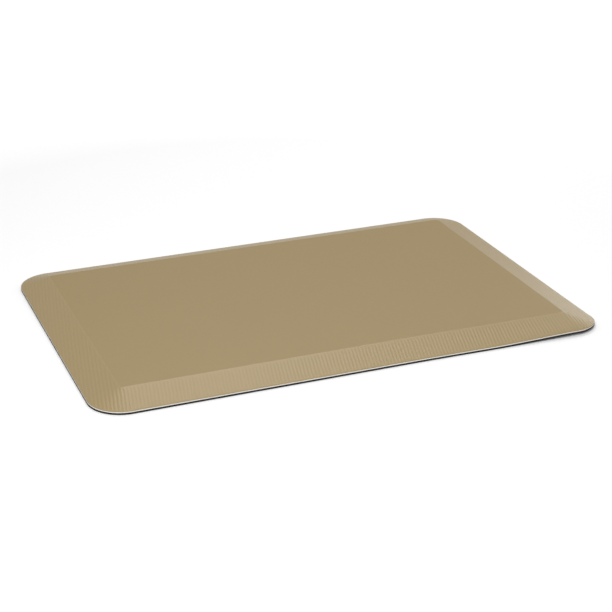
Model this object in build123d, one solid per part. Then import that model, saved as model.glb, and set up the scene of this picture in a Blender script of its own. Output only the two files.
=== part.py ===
from build123d import *
import os

# Anti-fatigue floor mat, in millimetres.
#
# The mat is a stack of sheets bonded face to face.  The two foam slabs are laminated flat and then
# skived on all four sides, and one moulded skin covers their top and slopes.  From the floor up:
#
#   base_sheet        dark rubber sheet that grips the floor
#   stabiliser_scrim  thin woven mesh that keeps the stack from stretching and curling
#   support_foam      firm foam, whose cut edge shows as a pale line round the mat
#   comfort_foam      soft foam, under the level standing surface and the upper slopes
#   cover_skin        tough textured skin, cut off flush with the edge of the sheets below
#
# Frame: X along the long side, Y along the short side, Z up.  The origin is the centre of the
# underside, so the mat stands on the plane Z = 0.

# Driving dimensions
LENGTH = 914.4              # overall, along X
DEPTH = 609.6               # overall, along Y
HEIGHT = 22.2               # from the floor to the standing surface
CORNER_RADIUS = 60.0        # of the outline, seen from above
BEVEL_RUN = 54.0            # horizontal width of the sloping border

BASE_THICKNESS = 3.0
SCRIM_THICKNESS = 0.4
SUPPORT_EDGE_HEIGHT = 1.8   # what the skiving leaves of the firm foam at the very edge
COMFORT_THICKNESS = 9.0     # soft foam under the standing surface
COVER_THICKNESS = 0.9       # measured straight down, on the level part and on the slopes alike

# Heights that follow from them
BASE_TOP = BASE_THICKNESS
SCRIM_TOP = BASE_TOP + SCRIM_THICKNESS
FOAM_EDGE_TOP = SCRIM_TOP + SUPPORT_EDGE_HEIGHT
COVER_EDGE_TOP = FOAM_EDGE_TOP + COVER_THICKNESS
FOAM_TOP = HEIGHT - COVER_THICKNESS
FOAM_SPLIT = FOAM_TOP - COMFORT_THICKNESS
BEVEL_RISE = HEIGHT - COVER_EDGE_TOP


def outline(z, inset=0.0):
    """The mat's outline as a face at height z, moved inwards all round by inset."""
    shape = RectangleRounded(LENGTH - 2 * inset, DEPTH - 2 * inset, CORNER_RADIUS - inset)
    return Pos(0, 0, z) * shape


def sheet(bottom, top):
    """A flat sheet cut square to the full outline."""
    return extrude(outline(bottom), amount=top - bottom)


def sloped_block(bottom, top, slope_start):
    """A block between two heights of the slope that leaves the outline at height slope_start."""
    lower_inset = BEVEL_RUN * (bottom - slope_start) / BEVEL_RISE
    upper_inset = BEVEL_RUN * (top - slope_start) / BEVEL_RISE
    return loft([outline(bottom, lower_inset), outline(top, upper_inset)], ruled=True)


def make_base_sheet():
    return sheet(0.0, BASE_TOP)


def make_stabiliser_scrim():
    return sheet(BASE_TOP, SCRIM_TOP)


def make_support_foam():
    """The firm slab: a thin square-cut edge, with the lower part of the slopes above it."""
    edge = sheet(SCRIM_TOP, FOAM_EDGE_TOP)
    slopes = sloped_block(FOAM_EDGE_TOP, FOAM_SPLIT, slope_start=FOAM_EDGE_TOP)
    return edge + slopes


def make_comfort_foam():
    """The soft slab, with the upper part of the slopes as its sides."""
    return sloped_block(FOAM_SPLIT, FOAM_TOP, slope_start=FOAM_EDGE_TOP)


def make_cover_skin():
    """One skin over the top and the slopes, of the same depth everywhere, down to its cut edge."""
    edge = sheet(FOAM_EDGE_TOP, COVER_EDGE_TOP)
    outside = edge + sloped_block(COVER_EDGE_TOP, HEIGHT, slope_start=COVER_EDGE_TOP)
    inside = sloped_block(FOAM_EDGE_TOP, FOAM_TOP, slope_start=FOAM_EDGE_TOP)
    return outside - inside


PIECES = {
    "base_sheet": make_base_sheet,
    "stabiliser_scrim": make_stabiliser_scrim,
    "support_foam": make_support_foam,
    "comfort_foam": make_comfort_foam,
    "cover_skin": make_cover_skin,
}


def main():
    os.makedirs("parts", exist_ok=True)
    for name, make_piece in PIECES.items():
        piece = make_piece()
        export_step(piece, f"parts/{name}.step")
        size = piece.bounding_box().size
        print(f"{name}: {piece.volume / 1000:.1f} cm3, {size.X:.1f} x {size.Y:.1f} x {size.Z:.1f} mm")


main()
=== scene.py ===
import math

import bmesh
import bpy
from mathutils import Matrix, Vector


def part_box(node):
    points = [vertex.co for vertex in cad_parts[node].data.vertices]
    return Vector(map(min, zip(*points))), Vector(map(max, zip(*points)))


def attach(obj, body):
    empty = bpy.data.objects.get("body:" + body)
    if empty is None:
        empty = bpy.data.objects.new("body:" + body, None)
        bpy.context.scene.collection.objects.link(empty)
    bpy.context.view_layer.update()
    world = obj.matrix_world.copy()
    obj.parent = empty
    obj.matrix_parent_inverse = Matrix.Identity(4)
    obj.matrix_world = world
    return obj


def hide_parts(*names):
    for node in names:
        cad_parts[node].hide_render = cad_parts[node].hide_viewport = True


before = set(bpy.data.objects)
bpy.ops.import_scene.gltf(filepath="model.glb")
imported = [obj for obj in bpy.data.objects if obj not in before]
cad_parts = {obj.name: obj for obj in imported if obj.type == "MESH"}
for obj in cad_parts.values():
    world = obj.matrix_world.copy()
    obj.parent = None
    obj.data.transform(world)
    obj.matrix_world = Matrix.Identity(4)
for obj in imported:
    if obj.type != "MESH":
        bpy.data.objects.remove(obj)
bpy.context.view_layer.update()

# A laminated anti-fatigue mat on a pale floor.  X runs along its long side, Y away from the camera
# and Z up, in metres, and the origin is the centre of its underside.

MM = 0.001

# ------------------------------------------------------------------ sizes, from the frame
HALF_X, HALF_Y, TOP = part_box("cover_skin")[1]
COVER_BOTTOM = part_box("cover_skin")[0].z
BASE_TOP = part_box("base_sheet")[1].z
SCRIM_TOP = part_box("stabiliser_scrim")[1].z
FOAM_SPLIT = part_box("support_foam")[1].z
FOAM_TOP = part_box("comfort_foam")[1].z
SPLIT_INSET = HALF_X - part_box("comfort_foam")[1].x

COVER_THICKNESS = TOP - FOAM_TOP
LIP_TOP = COVER_BOTTOM + COVER_THICKNESS
SLOPE = (FOAM_SPLIT - COVER_BOTTOM) / SPLIT_INSET
BEVEL_RUN = (TOP - LIP_TOP) / SLOPE

# ------------------------------------------------------------------ sizes of the finer detail
CORNER_RADIUS = 60 * MM
LIP_ROUND = 0.45 * MM         # how far back from the lip the skin starts to turn down
CREASE_ROUND = 1.3 * MM       # the same, each side of the crease at the top of the bevel
CREASE_REACH = 3 * MM         # how far to each side of the crease its wear shows

RIB_PITCH = 6.0 * MM
RIB_HEIGHT = 0.15 * MM        # of a crest above the mean surface
RIB_TURN = math.radians(10.8)  # the ribs lean this far from Y towards X
RIB_WANDER = 0.30 * MM        # how far a rib strays to either side of its line
RIB_BENDS = [(31, 170), (67, -83)]  # the waves it strays by, in radians per metre of X and of Y
RIB_RISE = (0.8 * MM, 3.0 * MM)  # distances from the lip between which the ribs rise,
RIB_FALL = (CREASE_ROUND, 3 * CREASE_ROUND)  # and from the crease
TICK_PITCH = 3.0 * MM         # of the ticks across the ribs

DECK_WAVE = 0.08 * MM         # how far the level part is from truly flat
# its waves, in radians per metre of X and of Y, and the angle each has at the origin
DECK_BENDS = [(23, 11, 0.7), (-16, 37, 2.1), (41, 29, 0.0)]

# The right end of the front edge has lifted off the floor, and is pulled to the right and forward.
CURL_LIFT = 3.8 * MM
CURL_SPREAD = 5.0 * MM        # to the right
CURL_LENGTH = 230 * MM        # how far from the right end the lift and the spread begin
CURL_DEPTH = 66 * MM          # how far in from the front edge they reach
STRETCH = 4.8 * MM            # to the front
STRETCH_LENGTH = 380 * MM     # how far from the right end the stretch begins
STRETCH_DEPTH = 250 * MM      # how far in from the front edge it reaches
CURL_FULL = 60 * MM           # how far from the right end all three are at their full size

FOAM_SETBACK = 0.2 * MM       # the die squeezes the foam's cut edge in behind the skin's,
FOAM_WAIST = 0.28 * MM        # and further in at its middle
FOAM_RAGGED = 0.07 * MM       # how far the cut edge wanders in and out
SCRIM_SETBACK = 0.25 * MM
SCRIM_RAGGED = 0.05 * MM
# the waves by which both edges wander, in radians per point, and the angle each starts at
RAGGED_BENDS = [(2.1, 0.0), (0.83, 1.0)]
THREAD_PITCH = 1.2 * MM

BASE_CHAMFER = 0.2 * MM       # of the base's lower edge
RIM_WIDTH = 9 * MM            # the plain border under the base
RIM_SLOPE = 1 * MM            # the width of the slope between the rim and the field
FIELD_HEIGHT = 0.6 * MM       # of the base's underside above the floor, between its dots
DOT_RADIUS = 3.5 * MM
DOT_FOOT = 0.86 * DOT_RADIUS  # the radius of the flat face that stands on the floor
DOT_CHAMFER = 0.25 * MM       # the height of the slope round that face
DOT_ROOT = 0.1 * MM           # how far a dot reaches up into the sheet
DOT_GAP = 1.5 * MM            # at least this much room between a dot and the rim
DOT_PITCH = 16 * MM
DOT_SIDES = 12

# ------------------------------------------------------------------ how finely the meshes are made
SHARP_ANGLE = math.radians(40)
LIP_STEPS = 3
CREASE_STEPS = 4
SAMPLES_PER_RIB = 7
RIB_STEP = RIB_PITCH / math.cos(RIB_TURN) / SAMPLES_PER_RIB
FEW_ROWS = 12                 # on the bevel, where close columns take up the ribs
MANY_ROWS = round(BEVEL_RUN / RIB_STEP)  # where close rows take them up instead
CELL = 11 * MM                # of the grids that fill the level surfaces

# The steps along the long sides, the steps along the short sides, and how many there are in a corner
COVER_STEPS = (RIB_STEP, 3.5 * MM, 100)
LINING_STEPS = (8 * MM, 8 * MM, 10)  # on the cover's underside
LEVEL_STEPS = (CELL, CELL, 4)
SOFT_FOAM_STEPS = (8 * MM, 8 * MM, 12)
FIRM_FOAM_STEPS = (4 * MM, 4 * MM, 24)
SCRIM_STEPS = (THREAD_PITCH / 2, THREAD_PITCH / 2, 150)
BASE_STEPS = (6 * MM, 6 * MM, 24)
LINING_EDGE = 2 * MM          # from the cover's cut edge to the first loop of its underside

# ------------------------------------------------------------------ colours and finish, linear
WHITE = (1.0, 1.0, 1.0, 1.0)
KHAKI = (0.285, 0.201, 0.080)
# painted sheen: the bevels get this paler, lighter khaki in place of the sheen that grazing light gives
# them
BEVEL_SHEEN_KHAKI = (0.312, 0.229, 0.106)
SOFT_FOAM = (0.72, 0.69, 0.6)
FIRM_FOAM = (0.82, 0.79, 0.73)
WEAVE = (0.035, 0.033, 0.030)
RUBBER = (0.014, 0.013, 0.012)

COVER_ROUGHNESS = 0.42
COVER_PATCHES = 0.04          # how far the roughness strays from that
RUBBER_ROUGHNESS = 0.6
RUBBER_PATCHES = 0.1
PAINTED_CREST_LIGHT = 0.028           # painted light and shade: how much lighter the crests of the ribs are painted than their mean, and the grooves as much darker
CREASE_WEAR = 0.04            # how much lighter the crease is, where it is most worn

# The lowest and highest factor by which a pattern changes the colour
MOTTLE = (0.985, 1.015)
SPECKS = (0.96, 1.04)
PORES = (0.86, 1.06)
THREADS = (0.8, 1.05)
DUST = (0.8, 1.35)

# The width of what repeats in each pattern
MOTTLE_SIZE = 90 * MM
WEAR_SIZE = 12 * MM
PATCH_SIZE = 7 * MM
GRAIN_SIZE = 0.9 * MM
PEBBLE_SIZE = 0.8 * MM
SOFT_PORE = 0.9 * MM
FIRM_PORE = 0.4 * MM
DUST_SIZE = 25 * MM
STIPPLE_SIZE = 0.5 * MM

GRAIN_DEPTH = 0.05 * MM
GRAIN_STRENGTH = 0.6
GRAIN_SHARE = 0.5             # of the grain in the skin's relief, beside its pebbles
TICK_SHARE = 0.8              # and of the ticks
PORE_STRENGTH = 0.7
THREAD_DEPTH = 0.15 * MM
STIPPLE_DEPTH = 0.06 * MM

# ------------------------------------------------------------------ camera and lights
CAMERA_AZIMUTH = -21.55       # this and the next two are in degrees
CAMERA_ELEVATION = 23.59
CAMERA_ROLL = -0.19
CAMERA_DISTANCE = 2.790
CAMERA_LENS = 89.9            # in millimetres, and so is the sensor
CAMERA_SENSOR = 36.0
CAMERA_REACH = 50.0           # it sees nothing further off
CAMERA_AIM = (0.0119, -0.0062, -0.0033)

SKY_STRENGTH = 0.51
SOFTBOX_SIZE = 1.5
SOFTBOX_DISTANCE = 3.0
# name, azimuth and elevation in degrees, power in watts
SOFTBOXES = [
    ("front", -30, 50, 48),
    ("back_right", 119, 16, 14),
    ("back", 158, 58, 25),
]

FLOOR_SIZE = 300.0
FLOOR_WHITE = (0.83, 0.83, 0.83)
FLOOR_GLOW = (0.08, 0.65)     # the floor's own light, near the mat and far from it
GLOW_REACH = (1.0, 2.5)       # the distances from the mat's centre between which it grows


# ------------------------------------------------------------------ mesh tools
def smooth_step(low, high, value):
    """From 0 at low to 1 at high, level at both ends.  low may be above high."""
    t = min(max((value - low) / (high - low), 0.0), 1.0)
    return t * t * (3 - 2 * t)


def curled(x, y, z):
    """Where a point of the flat mat goes when the right end of its front edge lifts."""
    curl, stretch = (
        smooth_step(HALF_X - length, HALF_X - CURL_FULL, x) * smooth_step(depth - HALF_Y, -HALF_Y, y)
        for length, depth in ((CURL_LENGTH, CURL_DEPTH), (STRETCH_LENGTH, STRETCH_DEPTH)))
    return x + CURL_SPREAD * curl, y - STRETCH * stretch, z + CURL_LIFT * curl


def unbent(x, y, z):
    """Where a point that the curl leaves alone goes."""
    return x, y, z


class Surface:
    """Points and faces collected for one mesh."""

    def __init__(self):
        self.points = []
        self.faces = []
        self.marks = {}

    def line(self, points):
        """Adds points and returns their indices."""
        first = len(self.points)
        self.points.extend(points)
        return list(range(first, len(self.points)))

    def mark(self, name, index, value):
        """Gives a point a number that materials can read.  Points without one count as 0."""
        self.marks.setdefault(name, {})[index] = value

    def ring(self, inset, height, places, ragged=0.0):
        """A loop at height(x, y), inset from the mat's outline, which may wander in and out a little."""
        points = []
        for i, (zone, along) in enumerate(places):
            waves = [math.sin(turn * i + start) for turn, start in RAGGED_BENDS]
            x, y = outline_point(zone, along, inset + ragged * sum(waves) / len(waves))
            points.append((x, y, height(x, y)))
        return self.line(points)

    def distance(self, a, b):
        return math.dist(self.points[a], self.points[b])

    def quads(self, a, b):
        """Joins two lines with the same number of points."""
        for i in range(len(a) - 1):
            self.faces.append((a[i], a[i + 1], b[i + 1], b[i]))

    def bridge(self, a, b):
        """Joins two lines whose ends lie together, whatever their numbers of points."""
        i = j = 0
        while i < len(a) - 1 or j < len(b) - 1:
            if i == len(a) - 1:
                a_moves = False
            elif j == len(b) - 1:
                a_moves = True
            else:
                a_moves = self.distance(a[i + 1], b[j]) < self.distance(a[i], b[j + 1])
            if a_moves:
                self.faces.append((a[i], a[i + 1], b[j]))
                i += 1
            else:
                self.faces.append((a[i], b[j + 1], b[j]))
                j += 1

    def join(self, a, b):
        """Joins two lines with quads where their points match in number, or else with triangles."""
        if len(a) == len(b):
            self.quads(a, b)
        else:
            self.bridge(a, b)

    def join_loops(self, a, b):
        """The same for two closed loops that run the same way round."""
        if len(a) != len(b):
            start = min(range(len(a)), key=lambda i: self.distance(a[i], b[0]))
            a = a[start:] + a[:start]
        self.join(a + a[:1], b + b[:1])

    def cap(self, loop, start, height):
        """Closes a loop, inset from the outline by start, with rings and a grid at height(x, y)."""
        inset = BEVEL_RUN + 2 * CREASE_ROUND
        steps = math.ceil((inset - start) / (2 * CELL))
        places = places_round(*LEVEL_STEPS)
        for i in range(1, steps + 1):
            ring = self.ring(start + (inset - start) * i / steps, height, places)
            self.join_loops(loop, ring)
            loop = ring
        reach_x = HALF_X - inset - CELL / 2
        reach_y = HALF_Y - inset - CELL / 2
        across = round(2 * reach_x / CELL)
        along = round(2 * reach_y / CELL)
        rows = []
        for j in range(along + 1):
            y = reach_y * (2 * j / along - 1)
            xs = [reach_x * (2 * i / across - 1) for i in range(across + 1)]
            rows.append(self.line([(x, y, height(x, y)) for x in xs]))
        for a, b in zip(rows, rows[1:]):
            self.quads(a, b)
        right = [row[-1] for row in rows[1:]]
        back = rows[-1][-2::-1]
        left = [row[0] for row in rows[-2:0:-1]]
        self.join_loops(loop, rows[0] + right + back + left)

    def make(self, name, material, bend=curled):
        """The finished object, smooth but for its sharp edges, with its points moved by bend."""
        mesh = bpy.data.meshes.new(name)
        mesh.from_pydata([bend(*point) for point in self.points], [], self.faces)
        shell = bmesh.new()
        shell.from_mesh(mesh)
        bmesh.ops.recalc_face_normals(shell, faces=shell.faces)
        shell.to_mesh(mesh)
        shell.free()
        for mark, values in self.marks.items():
            layer = mesh.attributes.new(mark, "FLOAT", "POINT")
            layer.data.foreach_set("value", [values.get(i, 0.0) for i in range(len(mesh.vertices))])
        mesh.materials.append(material)
        mesh.shade_smooth()
        mesh.set_sharp_from_angle(angle=SHARP_ANGLE)
        piece = bpy.data.objects.new(name, mesh)
        bpy.context.scene.collection.objects.link(piece)
        return piece


def outline_point(zone, along, inset):
    """A point of the mat's outline moved inwards by inset.

    Zones 0, 2, 4 and 6 are the front, right, back and left sides, and the odd zones are the corners
    after them.  along runs from 0 to 1 in each, anticlockwise seen from above."""
    side = zone // 2
    reach, depth = (HALF_X, HALF_Y) if side % 2 == 0 else (HALF_Y, HALF_X)
    straight = reach - CORNER_RADIUS
    if zone % 2 == 0:
        u = straight * (2 * along - 1)
        v = inset - depth
    else:
        radius = CORNER_RADIUS - inset
        angle = math.radians(90 * (along - 1))
        u = straight + radius * math.cos(angle)
        v = CORNER_RADIUS - depth + radius * math.sin(angle)
    for _ in range(side):
        u, v = -v, u
    return u, v


def places_round(long_step, short_step, corner_steps):
    """(zone, along) places round the whole outline, about those steps apart on its four sides."""
    places = []
    for zone in range(0, 8, 2):
        half, step = (HALF_X, long_step) if zone % 4 == 0 else (HALF_Y, short_step)
        steps = math.ceil(2 * (half - CORNER_RADIUS) / step)
        places += [(zone, i / steps) for i in range(1, steps)]
        places += [(zone + 1, i / corner_steps) for i in range(corner_steps + 1)]
    return places


def rounded(before, corner, after, steps):
    """Points of a smooth turn from before to after, in place of a sharp corner."""
    turn = []
    for i in range(steps + 1):
        t = i / steps
        turn.append(tuple(
            (1 - t) ** 2 * p + 2 * t * (1 - t) * q + t ** 2 * r
            for p, q, r in zip(before, corner, after)))
    return turn


def level(height):
    """A height for Surface.ring and Surface.cap that is the same everywhere."""
    return lambda x, y: height


def place_piece(piece, node):
    """Puts the piece on the root body and hides the CAD node that it stands in for."""
    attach(piece, "root")
    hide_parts(node)


# ------------------------------------------------------------------ the cover skin
def rib_wave(x, y):
    """From -1 in a groove to 1 on a crest of the ribs, which cross the whole mat one way."""
    wander = math.prod((math.sin(a * x + b * y) for a, b in RIB_BENDS), start=RIB_WANDER)
    across = x * math.cos(RIB_TURN) - y * math.sin(RIB_TURN) + wander
    return math.cos(2 * math.pi * across / RIB_PITCH)


def rib_weight(inset):
    """The ribs fade out at the lip and at the crease."""
    return smooth_step(*RIB_RISE, inset) * smooth_step(*RIB_FALL, BEVEL_RUN - inset)


def deck_height(x, y):
    """The level part, a little uneven as bonded foam is, but flat along its edges."""
    waves = [math.sin(a * x + b * y + start) for a, b, start in DECK_BENDS]
    fade_x = smooth_step(HALF_X - BEVEL_RUN, HALF_X - 2 * BEVEL_RUN, abs(x))
    fade_y = smooth_step(HALF_Y - BEVEL_RUN, HALF_Y - 2 * BEVEL_RUN, abs(y))
    return TOP + DECK_WAVE * sum(waves) / len(waves) * fade_x * fade_y


def cover_profile(slope_rows):
    """(inset, height) down the outside of the skin, from its cut edge up to the level part."""
    lip = (0.0, LIP_TOP)
    crease = (BEVEL_RUN, TOP)
    above_lip = (LIP_ROUND, LIP_TOP + LIP_ROUND * SLOPE)
    below_crease = (BEVEL_RUN - CREASE_ROUND, TOP - CREASE_ROUND * SLOPE)
    profile = [(0.0, COVER_BOTTOM)]
    profile += rounded((0.0, LIP_TOP - LIP_ROUND), lip, above_lip, LIP_STEPS)
    for i in range(1, slope_rows):
        t = i / slope_rows
        profile.append(tuple(a + t * (b - a) for a, b in zip(above_lip, below_crease)))
    profile += rounded(below_crease, crease, (BEVEL_RUN + CREASE_ROUND, TOP), CREASE_STEPS)
    return profile


def make_cover_skin(material):
    """The skin over the top and the slopes, closed by its underside.

    Close columns take up the ribs on the long sides, and close rows do so everywhere else."""
    few_rows = cover_profile(FEW_ROWS)
    many_rows = cover_profile(MANY_ROWS)
    skin = Surface()
    columns = []
    for zone, along in places_round(*COVER_STEPS):
        column = []
        for inset, height in few_rows if zone % 4 == 0 else many_rows:
            x, y = outline_point(zone, along, inset)
            crest = rib_weight(inset) * rib_wave(x, y)
            column += skin.line([(x, y, height + RIB_HEIGHT * crest)])
            skin.mark("crest", column[-1], crest)
            skin.mark("bevel", column[-1], smooth_step(BEVEL_RUN + CREASE_ROUND / 2, BEVEL_RUN, inset))
            skin.mark("crease", column[-1], smooth_step(CREASE_REACH, 0.0, abs(inset - BEVEL_RUN)))
        columns.append(column)
    for a, b in zip(columns, columns[1:] + columns[:1]):
        skin.join(a, b)
    skin.cap([column[-1] for column in columns], BEVEL_RUN + CREASE_ROUND, deck_height)

    lower, upper = (
        skin.ring(inset, level(COVER_BOTTOM + inset * SLOPE), places_round(*LINING_STEPS))
        for inset in (LINING_EDGE, BEVEL_RUN))
    skin.join_loops([column[0] for column in columns], lower)
    skin.join_loops(lower, upper)
    skin.cap(upper, BEVEL_RUN, level(FOAM_TOP))
    cover = skin.make("cover", material)
    place_piece(cover, "cover_skin")


# ------------------------------------------------------------------ the sheets under the cover
def block(profile, steps, ragged=0.0):
    """A closed surface with the mat's outline and (inset, height) sides, from bottom to top.

    ragged is how far those sides wander in and out."""
    surface = Surface()
    places = places_round(*steps)
    rings = [surface.ring(inset, level(height), places, ragged) for inset, height in profile]
    for a, b in zip(rings, rings[1:]):
        surface.join_loops(a, b)
    for ring, (inset, height) in ((rings[0], profile[0]), (rings[-1], profile[-1])):
        surface.cap(ring, inset, level(height))
    return surface


def make_soft_foam(material):
    """The soft slab, which lies under the level part and the upper slopes."""
    profile = [(SPLIT_INSET, FOAM_SPLIT), (BEVEL_RUN, FOAM_TOP)]
    slab = block(profile, SOFT_FOAM_STEPS).make("soft_foam_slab", material)
    place_piece(slab, "comfort_foam")


def make_firm_foam(material):
    """The firm slab, whose cut edge shows all round the mat, with the lower slopes above it."""
    profile = [
        (FOAM_SETBACK, SCRIM_TOP),
        (FOAM_WAIST, (SCRIM_TOP + COVER_BOTTOM) / 2),
        (FOAM_SETBACK, COVER_BOTTOM),
        (SPLIT_INSET, FOAM_SPLIT),
    ]
    slab = block(profile, FIRM_FOAM_STEPS, FOAM_RAGGED).make("firm_foam_slab", material)
    place_piece(slab, "support_foam")


def make_scrim(material):
    """The woven mesh between the firm foam and the base, frayed a little at its cut edge."""
    profile = [
        (SCRIM_SETBACK, BASE_TOP),
        (SCRIM_SETBACK / 2, (BASE_TOP + SCRIM_TOP) / 2),
        (SCRIM_SETBACK, SCRIM_TOP),
    ]
    sheet = block(profile, SCRIM_STEPS, SCRIM_RAGGED).make("woven_scrim", material)
    place_piece(sheet, "stabiliser_scrim")


def dot_places():
    """Centres of the grip dots: a staggered pattern that keeps clear of the rim."""
    row_step = DOT_PITCH * math.sqrt(3) / 2
    rows = int((HALF_Y - RIM_WIDTH) / row_step)
    for j in range(-rows, rows + 1):
        shift = 0.5 * (j % 2)
        count = int((HALF_X - RIM_WIDTH) / DOT_PITCH) + 1
        for i in range(-count, count + 1):
            x = (i + shift) * DOT_PITCH
            y = j * row_step
            if edge_distance(x, y) > RIM_WIDTH + DOT_RADIUS + DOT_GAP:
                yield x, y


def edge_distance(x, y):
    """How far inside the mat's outline a point is."""
    corner_x = abs(x) - (HALF_X - CORNER_RADIUS)
    corner_y = abs(y) - (HALF_Y - CORNER_RADIUS)
    if corner_x > 0 and corner_y > 0:
        return CORNER_RADIUS - math.hypot(corner_x, corner_y)
    return min(HALF_X - abs(x), HALF_Y - abs(y))


def add_dot(surface, x, y):
    """A low round dot whose flat face stands on the floor and whose root is in the sheet."""
    turns = [2 * math.pi * k / DOT_SIDES for k in range(DOT_SIDES)]
    profile = [(DOT_RADIUS, FIELD_HEIGHT + DOT_ROOT), (DOT_RADIUS, DOT_CHAMFER), (DOT_FOOT, 0.0)]
    rings = [
        surface.line([(x + radius * math.cos(a), y + radius * math.sin(a), height) for a in turns])
        for radius, height in profile]
    for a, b in zip(rings, rings[1:]):
        surface.join_loops(b, a)
    surface.faces.append(tuple(rings[0]))
    surface.faces.append(tuple(reversed(rings[-1])))


def make_base(material):
    """The rubber sheet: a rim that lies on the floor, and inside it a raised field with dots."""
    profile = [
        (RIM_WIDTH + RIM_SLOPE, FIELD_HEIGHT),
        (RIM_WIDTH, 0.0),
        (BASE_CHAMFER, 0.0),
        (0.0, BASE_CHAMFER),
        (0.0, BASE_TOP),
    ]
    base = block(profile, BASE_STEPS)
    for x, y in dot_places():
        add_dot(base, x, y)
    place_piece(base.make("rubber_base", material), "base_sheet")


# ------------------------------------------------------------------ materials
class Nodes:
    """A material's node tree, with short calls to add nodes and join them."""

    def __init__(self, name, colour, roughness, specular=0.5):
        self.material = bpy.data.materials.new(name)
        self.material.use_nodes = True
        self.tree = self.material.node_tree
        self.shader = self.tree.nodes["Principled BSDF"]
        self.shader.inputs["Base Color"].default_value = (*colour, 1.0)
        self.shader.inputs["Roughness"].default_value = roughness
        self.shader.inputs["Specular IOR Level"].default_value = specular
        self.place = self.add("ShaderNodeTexCoord").outputs["Object"]

    def add(self, kind, inputs=(), **settings):
        """A node; inputs is a dict of input name or number to a value or to another's output."""
        node = self.tree.nodes.new(kind)
        for key, value in settings.items():
            setattr(node, key, value)
        for key, value in dict(inputs).items():
            if isinstance(value, bpy.types.NodeSocket):
                self.tree.links.new(value, node.inputs[key])
            else:
                node.inputs[key].default_value = value
        return node

    def plus(self, a, b):
        return self.add("ShaderNodeMath", {0: a, 1: b}, operation="ADD").outputs[0]

    def times(self, a, b, plus=0.0):
        """a times b, with plus added."""
        return self.add("ShaderNodeMath", {0: a, 1: b, 2: plus}, operation="MULTIPLY_ADD").outputs[0]

    def noise(self, size, detail=2.0, roughness=0.5):
        """Noise from 0 to 1 with features about that size across, in metres."""
        inputs = {"Vector": self.place, "Scale": 1 / size, "Detail": detail, "Roughness": roughness}
        return self.add("ShaderNodeTexNoise", inputs).outputs["Fac"]

    def cells(self, size, feature="F1"):
        """Distance to the nearest of cells about that size across."""
        inputs = {"Vector": self.place, "Scale": 1 / size}
        return self.add("ShaderNodeTexVoronoi", inputs, feature=feature).outputs["Distance"]

    def bands(self, place, pitch, across):
        """A smooth wave from 0 to 1 that repeats every pitch metres across X or Y of place."""
        inputs = {"Vector": place, "Scale": math.pi / (10 * pitch)}
        return self.add("ShaderNodeTexWave", inputs, bands_direction=across).outputs["Fac"]

    def between(self, value, low, high, start=0.0, end=1.0):
        """A value from start to end spread over low to high."""
        inputs = {"Value": value, "From Min": start, "From Max": end, "To Min": low, "To Max": high}
        return self.add("ShaderNodeMapRange", inputs).outputs[0]

    def blend(self, factor, first, second, blend_type="MIX"):
        """A mix of two colours, each an output or three numbers."""
        mix = self.add("ShaderNodeMix", {0: factor}, data_type="RGBA", blend_type=blend_type)
        # The node has sockets for each type of value: its colours are inputs 6 and 7 and output 2.
        for socket, colour in zip(mix.inputs[6:8], (first, second)):
            if isinstance(colour, bpy.types.NodeSocket):
                self.tree.links.new(colour, socket)
            else:
                socket.default_value = (*colour, 1.0)
        return mix.outputs[2]

    def shade(self, colour, factor):
        """The colour made lighter or darker by a factor near 1."""
        return self.blend(1.0, colour, factor, "MULTIPLY")

    def bump(self, height, depth, strength=1.0):
        """Sets the shader's normal from a height of 0 to 1, depth metres deep."""
        inputs = {"Height": height, "Distance": depth, "Strength": strength}
        self.join(self.add("ShaderNodeBump", inputs).outputs["Normal"], "Normal")

    def patchy_roughness(self, pattern, middle, spread):
        """Sets the shader's roughness from a pattern of 0 to 1, to either side of middle."""
        self.join(self.between(pattern, middle - spread, middle + spread), "Roughness")

    def join(self, output, shader_input):
        self.tree.links.new(output, self.shader.inputs[shader_input])


def cover_material():
    """Khaki moulded skin: a fine pebble grain, fine ticks across the ribs of the bevels, a painted sheen
    on the bevels and painted light and shade on the ribs.
    """
    nodes = Nodes("khaki_skin", KHAKI, COVER_ROUGHNESS)
    bevel, crest, crease = (
        nodes.add("ShaderNodeAttribute", attribute_name=mark).outputs["Fac"]
        for mark in ("bevel", "crest", "crease"))
    grain = nodes.noise(GRAIN_SIZE, detail=4, roughness=0.6)

    # painted sheen: the bevels are coloured paler and lighter than the level part
    colour = nodes.blend(bevel, KHAKI, BEVEL_SHEEN_KHAKI)
    mottle = nodes.between(nodes.noise(MOTTLE_SIZE, detail=3), *MOTTLE)
    specks = nodes.between(grain, *SPECKS)
    # painted light and shade: the crests of the ribs are painted lighter and their grooves darker
    painted_rib_light_and_shade = nodes.times(crest, PAINTED_CREST_LIGHT, plus=1.0)
    worn = nodes.times(nodes.times(crease, nodes.noise(WEAR_SIZE, detail=3)), CREASE_WEAR)
    tone = nodes.plus(nodes.times(nodes.times(mottle, specks), painted_rib_light_and_shade), worn)
    nodes.join(nodes.shade(colour, tone), "Base Color")
    nodes.patchy_roughness(nodes.noise(PATCH_SIZE, detail=3), COVER_ROUGHNESS, COVER_PATCHES)

    pebbles = nodes.cells(PEBBLE_SIZE, "SMOOTH_F1")
    turned = nodes.add("ShaderNodeMapping", {"Vector": nodes.place, "Rotation": (0.0, 0.0, RIB_TURN)})
    ticks = nodes.bands(turned.outputs[0], TICK_PITCH, "Y")
    relief = nodes.plus(pebbles, nodes.times(grain, GRAIN_SHARE))
    ticked = nodes.plus(relief, nodes.times(ticks, nodes.times(bevel, TICK_SHARE)))
    nodes.bump(ticked, GRAIN_DEPTH, GRAIN_STRENGTH)
    return nodes.material


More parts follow.
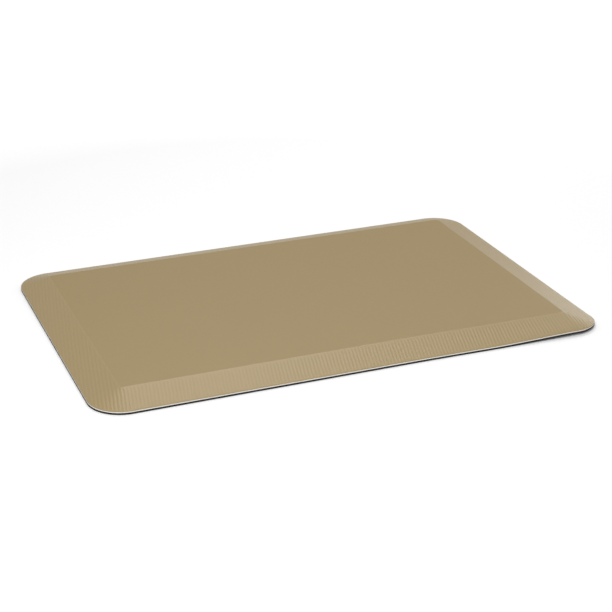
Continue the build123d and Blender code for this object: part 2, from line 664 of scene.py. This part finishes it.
def foam_material(name, colour, pore):
    """Open foam: small dark pores of that size between pale walls."""
    nodes = Nodes(name, colour, roughness=0.9, specular=0.2)
    pores = nodes.cells(pore)
    nodes.join(nodes.shade(colour, nodes.between(pores, *PORES)), "Base Color")
    nodes.bump(nodes.plus(pores, nodes.noise(pore / 3, detail=3)), pore / 3, PORE_STRENGTH)
    return nodes.material


def scrim_material():
    """Plain woven threads, over and under."""
    nodes = Nodes("dark_weave", WEAVE, roughness=0.85, specular=0.2)
    weave = nodes.times(*(nodes.bands(nodes.place, THREAD_PITCH, across) for across in "XY"))
    nodes.join(nodes.shade(WEAVE, nodes.between(weave, *THREADS)), "Base Color")
    nodes.bump(weave, THREAD_DEPTH)
    return nodes.material


def rubber_material():
    """Near-black rubber with a fine stipple, dusted a little lighter here and there."""
    nodes = Nodes("black_rubber", RUBBER, RUBBER_ROUGHNESS, specular=0.25)
    stipple = nodes.noise(STIPPLE_SIZE, detail=3)
    dust = nodes.between(nodes.noise(DUST_SIZE, detail=5, roughness=0.65), *DUST)
    nodes.join(nodes.shade(RUBBER, dust), "Base Color")
    nodes.patchy_roughness(stipple, RUBBER_ROUGHNESS, RUBBER_PATCHES)
    nodes.bump(stipple, STIPPLE_DEPTH)
    return nodes.material


# ------------------------------------------------------------------ floor, lights and camera
def make_floor():
    """A white floor with a glow of its own, which grows away from the mat, past the softboxes' reach."""
    nodes = Nodes("white_floor", FLOOR_WHITE, roughness=1.0, specular=0.0)
    distance = nodes.add("ShaderNodeVectorMath", {0: nodes.place}, operation="LENGTH").outputs["Value"]
    nodes.shader.inputs["Emission Color"].default_value = WHITE
    nodes.join(nodes.between(distance, *FLOOR_GLOW, *GLOW_REACH), "Emission Strength")
    floor = Surface()
    half = FLOOR_SIZE / 2
    corners = [(-half, -half, 0.0), (half, -half, 0.0), (half, half, 0.0), (-half, half, 0.0)]
    floor.faces.append(tuple(floor.line(corners)))
    floor.make("floor", nodes.material, bend=unbent)


def facing_mat(azimuth, elevation, distance):
    """The matrix of a lamp or camera that looks at the origin from there, with azimuth 0 in front."""
    a = math.radians(azimuth)
    e = math.radians(elevation)
    towards = Vector((math.sin(a) * math.cos(e), -math.cos(a) * math.cos(e), math.sin(e)))
    turn = towards.to_track_quat("Z", "Y").to_matrix().to_4x4()
    return Matrix.Translation(towards * distance) @ turn


def softbox(name, azimuth, elevation, power):
    light = bpy.data.lights.new(name, "AREA")
    light.size = SOFTBOX_SIZE
    light.energy = power
    lamp = bpy.data.objects.new(name, light)
    lamp.matrix_world = facing_mat(azimuth, elevation, SOFTBOX_DISTANCE)
    bpy.context.scene.collection.objects.link(lamp)


def light_scene():
    world = bpy.data.worlds.new("studio")
    world.use_nodes = True
    sky = world.node_tree.nodes["Background"]
    sky.inputs["Color"].default_value = WHITE
    sky.inputs["Strength"].default_value = SKY_STRENGTH
    bpy.context.scene.world = world
    for settings in SOFTBOXES:
        softbox(*settings)
    bpy.context.scene.view_settings.view_transform = "Standard"


def place_camera():
    data = bpy.data.cameras.new("camera")
    data.lens = CAMERA_LENS
    data.sensor_width = CAMERA_SENSOR
    data.clip_end = CAMERA_REACH
    camera = bpy.data.objects.new("camera", data)
    roll = Matrix.Rotation(math.radians(CAMERA_ROLL), 4, "Z")
    place = facing_mat(CAMERA_AZIMUTH, CAMERA_ELEVATION, CAMERA_DISTANCE)
    camera.matrix_world = Matrix.Translation(CAMERA_AIM) @ place @ roll
    bpy.context.scene.collection.objects.link(camera)
    bpy.context.scene.camera = camera


# ------------------------------------------------------------------ the scene
make_cover_skin(cover_material())
make_soft_foam(foam_material("soft_foam", SOFT_FOAM, SOFT_PORE))
make_firm_foam(foam_material("firm_foam", FIRM_FOAM, FIRM_PORE))
make_scrim(scrim_material())
make_base(rubber_material())

make_floor()
light_scene()
place_camera()
